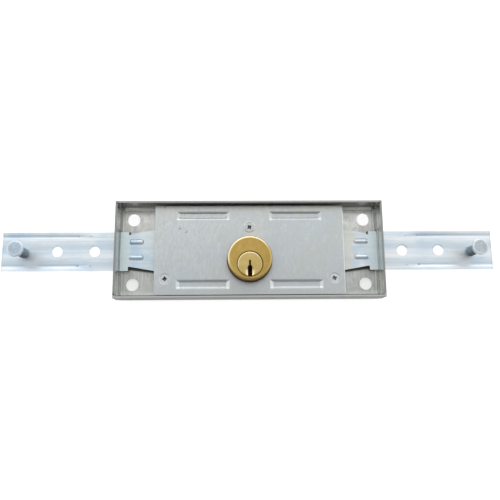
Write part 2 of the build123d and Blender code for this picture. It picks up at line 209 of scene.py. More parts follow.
def spot(m, cx, cy, r_in, r_out):
    """1 inside r_in of a point in plan, 0 beyond r_out."""
    r, _, _ = radius_about(m, cx, cy)
    return m.span(r, r_in, r_out, 1.0, 0.0, True)


def tone(c, k):
    return [min(1.0, v * k) for v in c]


def galvanised(name, level=1.0, streak="Y", walls=False):
    m = Mat(name)
    lines = grain(m, streak, 0.00026, 0.006, 4.0)
    wide = grain(m, streak, 0.0014, 0.02, 3.0)
    broad = m.noise(m.scaled(1, 1, 1), 55.0, 5.0, 0.62, 0.6)
    blot = m.noise(m.scaled(1, 0.7, 1), 260.0, 5.0, 0.68, 1.2)
    speck = m.noise(m.scaled(1, 0.6, 1), 1100.0, 4.0, 0.7, 0.4)
    c = [v * level for v in (0.56, 0.58, 0.56)]
    base = m.ramp(broad, [(0.28, tone(c, 0.74)), (0.5, c), (0.75, tone(c, 1.22))])
    base = mix_color(m, m.span(wide, 0.45, 0.75, 0.0, 0.45), base, tone(c, 0.64))
    base = mix_color(m, m.span(lines, 0.45, 0.72, 0.0, 0.55), base, tone(c, 0.55))
    base = mix_color(m, m.span(blot, 0.54, 0.70, 0.0, 0.45), base, tone([c[0], c[1] * 0.98, c[2] * 0.93], 0.50))
    base = mix_color(m, m.span(speck, 0.56, 0.72, 0.0, 0.35), base, tone(c, 1.25))
    rough = m.math("ADD", m.span(lines, 0.2, 0.8, 0.38, 0.52), m.span(blot, 0.4, 0.8, 0.0, 0.12))
    if walls:
        x, y, z = m.xyz()
        ax, ay = m.math("ABSOLUTE", x), m.math("ABSOLUTE", y)
        low = m.span(z, 0.0030, 0.0040)
        below = m.span(z, 0.01468, 0.01476, 1.0, 0.0)
        side = m.math("MAXIMUM", m.span(ax, 0.0760, 0.0763), m.span(ay, 0.0268, 0.0270))
        # the folded walls are drawn smoother than the flat base, and painted shade makes them darker
        wall = m.math("MULTIPLY", m.math("MULTIPLY", low, side), below)
        rough = m.math("SUBTRACT", rough, m.math("MULTIPLY", wall, 0.22))
        long_side = m.span(ay, 0.0268, 0.0270, 0.0, 0.50)
        base = mix_color(m, m.math("MULTIPLY", wall, long_side), base, tone(c, 0.46))
        # painted light: the end walls are painted brightest at their foot
        end_foot_light = m.math("MULTIPLY", m.math("MULTIPLY", m.span(ax, 0.0757, 0.0761), m.span(ay, 0.0270, 0.0268)), m.math("MULTIPLY", m.span(z, 0.0105, 0.0080), m.span(z, 0.0011, 0.0018)))
        over_slot = m.span(m.math("ABSOLUTE", m.math("SUBTRACT", y, 0.0005)), 0.0130, 0.0122)
        end_foot_light = m.math("MULTIPLY", end_foot_light, m.math("SUBTRACT", 1.0, over_slot))
        # painted shade on the end walls above the slots
        base = mix_color(m, m.math("MULTIPLY", m.math("MULTIPLY", wall, over_slot), m.span(ax, 0.0757, 0.0761, 0.0, 0.45)), base, tone(c, 0.50))
        base = mix_color(m, m.math("MULTIPLY", end_foot_light, 0.75), base, [0.96, 0.98, 0.93])
        # painted shade: the long wall at the far side is painted darkest inside
        far_wall_shade = m.math("MULTIPLY", wall, m.span(y, 0.0268, 0.0270))
        base = mix_color(m, m.math("MULTIPLY", far_wall_shade, 0.62), base, tone(c, 0.14))
        # cut edge round the open front: raw steel, with dark lines along the inner and outer edges of its long sides
        edge = m.span(z, 0.01478, 0.01486)
        base = mix_color(m, m.math("MULTIPLY", edge, 0.85), base, tone(c, 0.60))
        base = mix_color(m, m.math("MULTIPLY", m.math("MULTIPLY", edge, m.span(ax, 0.0755, 0.0760)), 0.8), base, tone(c, 0.46))
        base = mix_color(m, m.math("MULTIPLY", m.math("MULTIPLY", edge, m.span(y, -0.0262, -0.0266)), 0.6), base, tone(c, 0.95))
        # painted shade: the outside of the near wall, set dull and dark to match its tone in the photo
        near_outside_shade = m.math("MULTIPLY", m.span(y, -0.02812, -0.02820), m.span(z, 0.01492, 0.01480))
        base = mix_color(m, m.math("MULTIPLY", near_outside_shade, 0.72), base, tone(c, 0.18))
        rough = m.math("ADD", rough, m.math("MULTIPLY", near_outside_shade, 0.25))
        # painted shade along the lower lip of each end wall's slot
        slot_lip_shade = m.math("MULTIPLY", m.math("MULTIPLY", m.span(z, 0.0092, 0.0080), m.span(ax, 0.0757, 0.0761)), m.span(m.math("ABSOLUTE", m.math("SUBTRACT", y, 0.0005)), 0.0126, 0.0122))
        base = mix_color(m, m.math("MULTIPLY", m.math("MULTIPLY", slot_lip_shade, m.span(z, 0.0060, 0.0066)), 0.85), base, [0.06, 0.065, 0.065])
        rim_edge_lines = m.math("MAXIMUM", m.span(ay, 0.02722, 0.02712), m.span(ay, 0.02808, 0.02816))
        rim_edge_lines = m.math("MULTIPLY", m.math("MULTIPLY", rim_edge_lines, m.span(ay, 0.0266, 0.0268)), m.span(z, 0.0142, 0.0146))
        base = mix_color(m, m.math("MULTIPLY", rim_edge_lines, 0.62), base, tone(c, 0.12))
        inside = m.math("MULTIPLY", m.span(z, 0.0016, 0.0036, 1.0, 0.0), m.span(z, 0.0010, 0.0011))
        # painted light: the base beside the far wall is painted brighter
        far_bay_light = m.math("MULTIPLY", m.math("MULTIPLY", m.span(y, 0.0110, 0.0190), inside), m.span(blot, 0.30, 0.66, 1.0, 0.55))
        base = mix_color(m, m.math("MULTIPLY", far_bay_light, 0.90), base, [0.92, 0.92, 0.885])
        rough = m.math("SUBTRACT", rough, m.math("MULTIPLY", far_bay_light, 0.13))
        # painted light along the foot of the far wall, short of the end walls
        far_foot_light = m.math("MULTIPLY", m.math("MULTIPLY", m.span(y, 0.0205, 0.0235), m.span(z, 0.0046, 0.0036)), m.span(ax, 0.0752, 0.0738))
        base = mix_color(m, m.math("MULTIPLY", far_foot_light, 0.85), base, [1.0, 1.0, 0.97])
        curl = m.math("MULTIPLY", far_foot_light, m.span(z, 0.0013, 0.0016))
        rough = m.math("ADD", m.math("SUBTRACT", rough, m.math("MULTIPLY", far_foot_light, 0.06)), m.math("MULTIPLY", curl, 0.22))
        # painted shade on the bends up to the end walls
        bend_shade = m.math("MULTIPLY", m.math("MULTIPLY", m.span(ax, 0.0739, 0.0744), m.span(ax, 0.0761, 0.0757)), m.span(z, 0.0034, 0.0026))
        base = mix_color(m, m.math("MULTIPLY", bend_shade, 0.40), base, tone(c, 0.44))
        # open seam at the near left corner of the rim
        seam_spot = m.math("MULTIPLY", spot(m, -0.0769, -0.0261, 0.0002, 0.0008), m.span(z, 0.0125, 0.0140))
        base = mix_color(m, m.math("MULTIPLY", seam_spot, 0.90), base, [0.035, 0.035, 0.035])
        # darker along the foot of both long walls and in the far corners of the base
        cx = m.span(ax, 0.0735, 0.0762)
        cy = m.span(y, 0.0235, 0.0262)
        corner = m.math("MULTIPLY", m.math("MULTIPLY", cx, cy), m.span(blot, 0.35, 0.60, 0.15, 0.8))
        streak_in = m.math("MULTIPLY", m.math("MULTIPLY", m.span(y, 0.0251, 0.0256), m.span(y, 0.0263, 0.0258)), m.math("MULTIPLY", m.span(blot, 0.38, 0.60, 0.45, 1.0), m.span(x, -0.020, 0.020, 0.35, 0.75)))
        near_lift = m.math("MULTIPLY", m.span(y, -0.0225, -0.0248), inside)
        base = mix_color(m, m.math("MULTIPLY", near_lift, 0.50), base, [0.86, 0.875, 0.85])
        foot = m.span(y, -0.0250, -0.0253, 0.0, 0.85)
        # painted shadow on the base under the lower edge of each slide's neck and under its notch
        line = m.math("ADD", m.math("MULTIPLY", m.math("SUBTRACT", ax, 0.0704), 0.1765), -0.0087)
        under = m.math("SUBTRACT", y, line)
        reach = m.span(ax, 0.0560, 0.0700, -0.0013, -0.0021)
        neck_shadow = m.math("MULTIPLY", m.span(m.math("SUBTRACT", under, reach), -0.0002, 0.0009, 0.0, 1.0, True), m.span(under, 0.0030, 0.0010))
        neck_shadow = m.math("MULTIPLY", neck_shadow, m.math("MULTIPLY", m.span(ax, 0.0520, 0.0560), m.span(ax, 0.0728, 0.0716)))
        neck_shadow = m.math("MAXIMUM", neck_shadow, m.math("MAXIMUM", spot(m, -0.07145, 0.0118, 0.0007, 0.0013), spot(m, 0.07155, 0.0118, 0.0007, 0.0013)))
        foot_and_corner_dark = m.math("MAXIMUM", m.math("MAXIMUM", corner, streak_in), foot)
        base = mix_color(m, m.math("MULTIPLY", foot_and_corner_dark, inside), base, [0.085, 0.075, 0.062])
        base = mix_color(m, m.math("MULTIPLY", m.math("MULTIPLY", neck_shadow, inside), 0.88), base, [0.042, 0.040, 0.034])
    h = m.math("ADD", m.math("MULTIPLY", lines, 0.6), m.math("MULTIPLY", blot, 0.7))
    m.set(Base_Color=base, Metallic=m.math("SUBTRACT", 1.0, m.math("MULTIPLY", near_outside_shade, 0.85)) if walls else 1.0,
          Roughness=rough, Normal=m.bump(h, 0.30, 0.00006))
    return m


def cover_finish():
    m = Mat("cover_steel_grained")
    lines = grain(m, "Y", 0.00030, 0.004, 4.0)
    wide = grain(m, "Y", 0.0016, 0.03, 3.0)
    cloud = m.noise(m.scaled(1, 1, 1), 34.0, 3.0, 0.5, 0.3)
    spangle = m.noise(m.scaled(1, 0.45, 1), 900.0, 5.0, 0.72, 0.5)
    patch = m.noise(m.scaled(1.0, 0.7, 1.0, (0.31, 0.77, 0.0)), 120.0, 5.0, 0.66, 0.8)
    c = [0.665, 0.705, 0.722]
    tint = m.ramp(cloud, [(0.3, [0.600, 0.655, 0.685]), (0.5, c), (0.72, [0.715, 0.735, 0.715])])
    tint = mix_color(m, m.span(spangle, 0.42, 0.66, 0.0, 0.62), tint, tone(c, 0.68))
    tint = mix_color(m, m.span(lines, 0.45, 0.72, 0.0, 0.42), tint, tone(c, 0.60))
    tint = mix_color(m, m.span(wide, 0.5, 0.8, 0.0, 0.22), tint, tone(c, 0.80))
    tint = mix_color(m, m.span(patch, 0.55, 0.72, 0.0, 0.22), tint, tone(c, 1.18))
    x, y, z = m.xyz()
    # the sheet greys a little towards the right, with blue and olive clouds in it
    tint = mix_color(m, m.span(x, -0.030, 0.045, 0.30, 0.85), tint, tone(c, 0.80))
    haze = m.noise(m.scaled(0.8, 1.0, 1.0, (0.13, 0.41, 0.0)), 70.0, 3.0, 0.55, 0.4)
    tint = mix_color(m, m.span(haze, 0.50, 0.70, 0.0, 0.35), tint, [0.560, 0.590, 0.540])
    tint = mix_color(m, m.span(haze, 0.46, 0.30, 0.0, 0.35), tint, [0.560, 0.640, 0.700])
    mottle = m.noise(m.scaled(1.0, 0.6, 1.0, (0.57, 0.23, 0.0)), 430.0, 4.0, 0.68, 0.9)
    tint = mix_color(m, m.span(mottle, 0.52, 0.72, 0.0, 0.40), tint, tone(c, 0.74))
    tint = mix_color(m, m.span(mottle, 0.46, 0.30, 0.0, 0.30), tint, tone(c, 1.14))
    # straw tint from the plating along the top edge and under the top screw
    strip = m.math("MULTIPLY", m.span(y, 0.0205, 0.0255), m.span(patch, 0.35, 0.65, 0.15, 0.75))
    halo = m.math("MULTIPLY", spot(m, 0.0035, 0.0085, 0.001, 0.0085), m.span(patch, 0.35, 0.6, 0.2, 0.8))
    tint = mix_color(m, m.math("MAXIMUM", strip, halo), tint, [0.66, 0.655, 0.575])
    # greyer at the foot of the plate
    tint = mix_color(m, m.span(y, -0.0165, -0.0255, 0.0, 0.62), tint, tone([c[0], c[1] * 0.985, c[2] * 0.955], 0.84))
    # a dark scuff left of the top screw, and fine handling marks
    ragged = m.noise(m.scaled(1, 1, 1), 900.0, 4.0, 0.6)
    s1 = m.math("MULTIPLY", spot(m, -0.0369, 0.0108, 0.0002, 0.0011), m.span(ragged, 0.42, 0.55))
    s2 = m.math("MULTIPLY", spot(m, -0.0402, 0.0128, 0.0003, 0.0022), m.span(ragged, 0.5, 0.6, 0.0, 0.6))
    s3 = m.math("MULTIPLY", spot(m, -0.0496, 0.0256, 0.0002, 0.0010), m.span(ragged, 0.42, 0.55, 0.2, 0.8))
    tint = mix_color(m, m.math("MAXIMUM", m.math("MAXIMUM", s1, s2), s3), tint, [0.16, 0.165, 0.17])
    # painted shade under the near edge of the top screw's head
    r, _, dy = radius_about(m, 0.0, 0.0135)
    under = m.math("MULTIPLY", m.math("MULTIPLY", m.span(r, 0.0027, 0.0028), m.span(r, 0.0036, 0.0030)), m.span(dy, -0.0008, -0.0020))
    tint = mix_color(m, m.math("MULTIPLY", under, 0.85), tint, [0.22, 0.23, 0.23])
    # painted light on the dimple's far side, lifting it to the tone of the sheet round it
    dimple_light = m.math("MULTIPLY", m.math("MULTIPLY", m.span(r, 0.0027, 0.0028), m.span(r, 0.0037, 0.0031)), m.span(dy, 0.0004, 0.0016))
    tint = mix_color(m, m.math("MULTIPLY", dimple_light, 0.80), tint, [1.0, 1.0, 1.0])
    # painted highlight: the ends of the pressed pockets, lifted to their tone in the photo
    along = m.math("ABSOLUTE", m.math("SUBTRACT", m.math("ABSOLUTE", x), 0.0271))
    across = m.math("MINIMUM", m.math("ABSOLUTE", m.math("SUBTRACT", y, 0.02055)), m.math("ABSOLUTE", m.math("ADD", y, 0.02005)))
    ends = m.math("MULTIPLY", m.math("MULTIPLY", m.span(along, 0.0133, 0.0138), m.span(along, 0.0156, 0.0152)), m.span(across, 0.0029, 0.0025))
    ends = m.math("MULTIPLY", ends, m.span(z, 0.01001, 0.00994))
    low = m.math("MULTIPLY", m.span(m.math("ABSOLUTE", m.math("ADD", y, 0.02230)), 0.0016, 0.0006), 0.10)
    high = m.math("MULTIPLY", m.span(m.math("ABSOLUTE", m.math("SUBTRACT", y, 0.01830)), 0.0014, 0.0005), 0.32)
    ramp_highlight = m.math("ADD", m.math("MAXIMUM", low, high), m.span(y, 0.0, -0.001, 0.08, 0.25))
    tint = mix_color(m, m.math("MULTIPLY", ends, ramp_highlight), tint, [1.0, 1.0, 0.99])
    # the right-hand sheared edge is bright
    tint = mix_color(m, m.math("MULTIPLY", m.span(x, 0.05475, 0.05495), m.span(y, 0.0262, 0.0240)), tint, [0.88, 0.90, 0.90])
    rough = m.math("ADD", m.span(lines, 0.2, 0.8, 0.30, 0.42), m.span(spangle, 0.3, 0.7, -0.02, 0.07))
    h = m.math("ADD", m.math("MULTIPLY", lines, 0.6), m.math("MULTIPLY", spangle, 0.6))
    m.set(Base_Color=tint, Metallic=1.0, Roughness=rough, Normal=m.bump(h, 0.25, 0.00005))
    return m


def bright_zinc(name, side, shift, cool=1.0):
    """Blue zinc plate on drawn sheet: long lines along the arm, pale blue and straw patches. side is -1 left, 1 right."""
    m = Mat(name)
    x, y, z = m.xyz()
    ax = m.math("MULTIPLY", x, side)
    lines = grain(m, "X", 0.00038, 0.035, 4.0)
    bands = m.noise(m.scaled(7.0, 420.0, 300.0, (shift, 0.3, 0)), 1.0, 3.0, 0.6)
    cloud = m.noise(m.scaled(0.55, 1.2, 1.0, (0.37 * shift, 0.11, 0.0)), 62.0, 4.0, 0.6, 0.6)
    patch = m.noise(m.scaled(0.8, 1.0, 1.0, (0.9 * shift, 0.53, 0.2)), 85.0, 4.0, 0.6, 0.9)
    fine = m.noise(m.scaled(0.4, 1.0, 1.0), 1000.0, 4.0, 0.7, 0.3)
    tint = m.ramp(cloud, [(0.30, [0.42, 0.58, 0.76]), (0.43, [0.60, 0.74, 0.86]), (0.54, [0.74, 0.83, 0.89]), (0.70, [0.86, 0.895, 0.91])])
    tint = mix_color(m, 1.0 - cool, tint, [0.86, 0.88, 0.885])
    tint = mix_color(m, m.span(patch, 0.57, 0.70, 0.0, 0.4), tint, [0.77, 0.79, 0.76])
    tint = mix_color(m, m.span(bands, 0.50, 0.70, 0.0, 0.50), tint, [0.50, 0.61, 0.73])
    tint = mix_color(m, m.span(bands, 0.46, 0.30, 0.0, 0.50), tint, [0.86, 0.90, 0.92])
    tint = mix_color(m, m.span(lines, 0.50, 0.72, 0.0, 0.38), tint, [0.42, 0.50, 0.58])
    tint = mix_color(m, m.span(fine, 0.55, 0.72, 0.0, 0.30), tint, [0.52, 0.58, 0.64])
    # two greyer bands run along each arm and brighter ones lie between them
    wavy = m.math("ADD", y, m.math("MULTIPLY", m.math("SUBTRACT", cloud, 0.5), 0.0022))
    outer = m.span(ax, 0.0740, 0.0780)
    dull = m.math("MAXIMUM", m.span(m.math("ABSOLUTE", m.math("SUBTRACT", wavy, 0.0036)), 0.0030, 0.0008), m.span(m.math("ABSOLUTE", m.math("ADD", wavy, 0.0066)), 0.0024, 0.0008))
    clear = m.math("MAXIMUM", m.span(m.math("ABSOLUTE", m.math("SUBTRACT", wavy, 0.0078)), 0.0012, 0.0004), m.span(m.math("ABSOLUTE", m.math("ADD", wavy, 0.0020)), 0.0024, 0.0008))
    tint = mix_color(m, m.math("MULTIPLY", m.math("MULTIPLY", dull, outer), 0.55), tint, [0.54, 0.64, 0.72])
    tint = mix_color(m, m.math("MULTIPLY", m.math("MULTIPLY", clear, outer), 0.40), tint, [0.93, 0.96, 0.975])
    # painted highlight along the lower edge of each arm, strong on the left arm and faint on the right
    tint = mix_color(m, m.math("MULTIPLY", m.math("MULTIPLY", m.span(y, -0.0088, -0.0096), outer), 0.38 if side < 0 else 0.05), tint, [0.97, 0.975, 0.98])
    # heat and passivation colours: blue near the wall, straw next to the cover
    neck = m.math("MULTIPLY", m.span(ax, 0.0655, 0.0605), m.span(patch, 0.30, 0.60, 0.35, 1.0))
    if side > 0:
        blue = m.math("MAXIMUM", m.math("MAXIMUM", spot(m, 0.0632, 0.0012, 0.0008, 0.0036), spot(m, 0.0662, 0.0036, 0.0006, 0.0030)),
                      m.math("MAXIMUM", spot(m, 0.0625, -0.0074, 0.0010, 0.0045), spot(m, 0.0722, -0.0052, 0.0022, 0.0060)))
        blue = m.math("MULTIPLY", blue, m.span(patch, 0.40, 0.62, 1.0, 0.7))
    else:
        blue = m.math("MULTIPLY", m.span(m.math("ABSOLUTE", m.math("SUBTRACT", ax, 0.0680)), 0.0045, 0.0015), m.span(patch, 0.40, 0.62, 0.9, 0.2))
    tint = mix_color(m, m.math("MULTIPLY", neck, 0.70 if side > 0 else 0.45), tint, [0.67, 0.665, 0.545] if side > 0 else [0.68, 0.75, 0.72])
    tint = mix_color(m, m.math("MULTIPLY", blue, 0.48 if side > 0 else 0.36), tint, [0.48, 0.66, 0.83])
    # painted light just inside the wall, then a painted shadow line where the slot's edge shades the arm
    wall_side_light = m.math("MULTIPLY", m.span(ax, 0.0690, 0.0735), m.span(ax, 0.0764, 0.0758))
    wall_side_light = m.math("MULTIPLY", wall_side_light, m.span(patch, 0.35, 0.65, 1.0, 0.70))
    tint = mix_color(m, m.math("MULTIPLY", wall_side_light, 0.80 if side < 0 else 0.72), tint, [0.86, 1.0, 0.99])
    slot_shadow = m.math("MULTIPLY", m.span(ax, 0.0759, 0.0763), m.span(ax, 0.0778, 0.0774))
    tint = mix_color(m, m.math("MULTIPLY", slot_shadow, 0.70 if side < 0 else 0.52), tint, [0.20, 0.235, 0.245])
    # a paler patch beside the pin offsets the pin's long dark reflection in the arm
    tint = mix_color(m, m.math("MULTIPLY", spot(m, side * 0.1275, -0.0045, 0.0010, 0.0068), 0.60), tint, [0.97, 0.99, 1.0])
    # burr shadows round the upper side of the punched holes, and a worn end
    for hx in (0.0911, 0.1130):
        rh, _, hy = radius_about(m, side * hx, 0.0005)
        lip = m.math("MULTIPLY", m.math("MULTIPLY", m.span(rh, 0.0040, 0.0034), m.span(hy, 0.0008, 0.0022)), m.span(fine, 0.40, 0.60, 0.25, 0.75))
        tint = mix_color(m, m.math("MULTIPLY", lip, 1.0 if side > 0 else 0.45), tint, [0.36, 0.39, 0.42])
    tint = mix_color(m, m.span(ax, 0.1440, 0.1449, 0.0, 0.40), tint, [0.46, 0.51, 0.55])
    # painted shadow along the lower edge of the neck and at its notch
    edge = m.math("MULTIPLY", m.span(z, 0.00388, 0.00378), m.math("MULTIPLY", m.span(ax, 0.0728, 0.0718), m.span(y, -0.0060, -0.0075)))
    notch_shadow = m.math("MULTIPLY", spot(m, side * 0.0704, 0.0108, 0.0003, 0.0007), 0.7)
    tint = mix_color(m, m.math("MAXIMUM", m.math("MULTIPLY", edge, 0.9), notch_shadow), tint, [0.045, 0.042, 0.036])
    rough = m.math("ADD", m.span(lines, 0.25, 0.8, 0.36, 0.47), m.span(cloud, 0.3, 0.7, 0.0, 0.06))
    h = m.math("ADD", m.math("MULTIPLY", lines, 0.5), m.math("MULTIPLY", bands, 0.6))
    m.set(Base_Color=tint, Metallic=1.0, Roughness=rough, Normal=m.bump(h, 0.25, 0.00008))
    return m


def turned(name, cx, cy, low, mid, high, rough0=0.26, mottled=0.0, pitch=0.00016, keyway=False, rim=None, barrel=None, bore=None, knob=None):
    """A faced end: rings about a centre in plan, with a little tarnish."""
    m = Mat(name)
    metal = 1.0
    r, dx, dy = radius_about(m, cx, cy)
    comb = m.nt.nodes.new("ShaderNodeCombineXYZ")
    m.link(m.math("MULTIPLY", r, 1.0 / pitch), comb.inputs[0])
    x, y, z = m.xyz()
    m.link(m.math("MULTIPLY", z, 1.0 / (pitch * 1.2)), comb.inputs[1])
    rings = m.noise(comb.outputs[0], 1.0, 2.0, 0.5)
    cloud = m.noise(m.scaled(1, 1, 1), 130.0, 4.0, 0.6, 0.5)
    fine = m.noise(m.scaled(1, 1, 1), 1300.0, 3.0, 0.6)
    base = m.ramp(m.math("ADD", m.math("MULTIPLY", cloud, 0.65), m.math("MULTIPLY", rings, 0.35)), [(0.34, low), (0.5, mid), (0.68, high)])
    if rim:
        # warm and olive clouds of tarnish on the brass
        warm = m.noise(m.scaled(1.0, 1.0, 1.0, (0.21, 0.05, 0.0)), 210.0, 3.0, 0.6, 0.7)
        base = mix_color(m, m.span(warm, 0.54, 0.70, 0.0, 0.65), base, [mid[0] * 1.16, mid[1] * 1.0, mid[2] * 1.45])
        base = mix_color(m, m.span(warm, 0.46, 0.32, 0.0, 0.60), base, [mid[0] * 0.90, mid[1] * 1.0, mid[2] * 0.80])
    if mottled:
        base = mix_color(m, m.span(fine, 0.45, 0.62, 0.0, mottled), base, tone(low, 0.62))
    rough = m.math("ADD", m.span(rings, 0.25, 0.75, rough0, rough0 + 0.12), m.span(cloud, 0.3, 0.75, 0.0, 0.10))
    if rim:
        # the bevel is polished, and painted paler than the faced end as a painted highlight
        band = m.math("MULTIPLY", m.span(r, rim[0] - 0.0003, rim[0] + 0.0002), m.span(z, rim[1] - 0.00004, rim[1] + 0.00004))
        # ... the highlight lies on the upper left side, towards the light; the rest of the bevel is gold
        lit_side = m.span(m.math("SUBTRACT", m.math("MULTIPLY", dy, 0.9), m.math("MULTIPLY", dx, 0.45)), rim[0] * -0.02, rim[0] * 0.42)
        base = mix_color(m, m.math("MULTIPLY", band, 0.85), base, mix_color(m, lit_side, [0.68, 0.52, 0.21], rim[2]))
        rough = m.math("SUBTRACT", rough, m.math("MULTIPLY", m.math("MULTIPLY", band, lit_side), 0.10))
        # more tarnish towards the right
        base = mix_color(m, m.span(dx, 0.0, 0.0110, 0.0, 0.20), base, tone(mid, 0.62))
    if barrel:
        # the round side, in the cover's opening, is painted dark brown: tarnish and painted shade
        side = m.math("MULTIPLY", m.span(r, barrel[0] - 0.0001, barrel[0]), m.span(z, barrel[1], barrel[1] - 0.0002))
        base = mix_color(m, m.math("MULTIPLY", side, 0.95), base, barrel[2])
        rough = m.math("ADD", rough, m.math("MULTIPLY", side, 0.32))
        m.bsdf.inputs["Specular Tint"].default_value = (0.55, 0.40, 0.20, 1.0)
        metal = m.math("SUBTRACT", 1.0, m.math("MULTIPLY", side, 0.85))
    if bore:
        # painted shade: a dark line round the plug, thinner at its foot
        rb, _, by = radius_about(m, bore[0], bore[1])
        bore_shade = m.math("MULTIPLY", m.span(rb, bore[2] + 0.00012, bore[2]), m.span(by, -0.0050, 0.0010, 0.25, 0.75))
        base = mix_color(m, m.math("MULTIPLY", bore_shade, m.span(z, 0.0120, 0.0140)), base, [0.16, 0.095, 0.030])
    if knob:
        # painted highlight on the head's rim, its middle stays grey; the shank is black with grease and painted shade,
        # darkest on its shaded side
        top = m.span(z, knob[1] - 0.0003, knob[1] - 0.0001)
        head_rim_highlight = m.math("MULTIPLY", m.math("MULTIPLY", m.span(r, knob[0] * 0.76, knob[0] * 0.86), top), m.span(cloud, 0.30, 0.55, 0.25, 0.52))
        middle = m.math("MULTIPLY", m.math("MULTIPLY", m.span(r, knob[0] * 0.80, knob[0] * 0.60), top), m.span(m.noise(m.scaled(1, 1, 1, (0.4, 0.1, 0.0)), 620.0, 3.0, 0.6, 0.6), 0.38, 0.62, 0.0, 0.42))
        base = mix_color(m, middle, base, tone(low, 0.72))
        base = mix_color(m, head_rim_highlight, base, [0.90, 0.92, 0.95])
        shank_grease_and_shade = m.math("MULTIPLY", m.span(r, 0.0033, 0.0031), m.math("MULTIPLY", m.span(z, 0.0165, 0.0162), m.span(z, 0.0039, 0.0042)))
        across = m.math("ADD", m.math("MULTIPLY", dx, -1.0 if cx > 0 else 1.0), dy)
        base = mix_color(m, m.math("MULTIPLY", shank_grease_and_shade, 0.80), base, mix_color(m, m.span(across, -0.0024, 0.0008), [0.020, 0.021, 0.022], [0.13, 0.175, 0.215]))
    if keyway:
        # old grease, brass dust and painted shade blacken the walls of the key slot
        grease_and_shade = m.math("MULTIPLY", m.span(m.math("ABSOLUTE", dx), 0.00124, 0.00128, 1.0, 0.0), m.span(z, 0.01715, 0.01742, 1.0, 0.0))
        grease_and_shade = m.math("MULTIPLY", grease_and_shade, m.span(z, 0.0078, 0.0080))
        # painted highlight on the flared mouth of the key slot
        flare = m.math("MULTIPLY", m.math("MULTIPLY", spot(m, 0.0, -0.0140, 0.0019, 0.0027), m.span(z, 0.01746, 0.01738)), m.span(m.math("ABSOLUTE", dx), 0.00126, 0.00132))
        base = mix_color(m, m.math("MULTIPLY", flare, 0.60), base, [0.90, 0.79, 0.58])
        base = mix_color(m, m.math("MULTIPLY", grease_and_shade, 0.93), base, mix_color(m, m.span(dy, -0.0012, -0.0004), [0.110, 0.058, 0.016], [0.200, 0.098, 0.012]))
        rough = m.math("ADD", rough, m.math("MULTIPLY", grease_and_shade, 0.3))
        metal = m.math("SUBTRACT", 1.0, m.math("MULTIPLY", grease_and_shade, 0.85))
        m.bsdf.inputs["Specular Tint"].default_value = (0.60, 0.42, 0.20, 1.0)
    h = m.math("ADD", m.math("MULTIPLY", rings, 0.7), m.math("MULTIPLY", fine, 0.3 + mottled))
    m.set(Base_Color=base, Metallic=metal, Roughness=rough, Normal=m.bump(h, 0.22, 0.00005))
    return m


def plain_metal(name, low, high, rough0=0.32, scale=160.0, lines="X", recess=None):
    m = Mat(name)
    cloud = m.noise(m.scaled(1, 1, 1), scale, 4.0, 0.6, 0.4)
    fine = grain(m, lines, 0.00025, 0.004, 2.0)
    base = m.ramp(m.math("ADD", m.math("MULTIPLY", cloud, 0.6), m.math("MULTIPLY", fine, 0.4)), [(0.34, low), (0.66, high)])
    if recess:
        # the driver recess is darkened, less towards the right
        x, y, z = m.xyz()
        # the screw above the cylinder is duller than the other two
        base = mix_color(m, m.span(y, 0.0, 0.005, 0.0, 0.50), base, [0.47, 0.49, 0.49])
        recess_dark = m.math("MULTIPLY", m.span(z, recess[0], recess[1], 1.0, 0.0), m.span(x, -0.030, 0.040, 0.86, 0.62))
        base = mix_color(m, recess_dark, base, [0.085, 0.085, 0.080])
    m.set(Base_Color=base, Metallic=1.0, Roughness=m.span(cloud, 0.3, 0.7, rough0, rough0 + 0.14),
          Normal=m.bump(fine, 0.2, 0.00004))
    return m


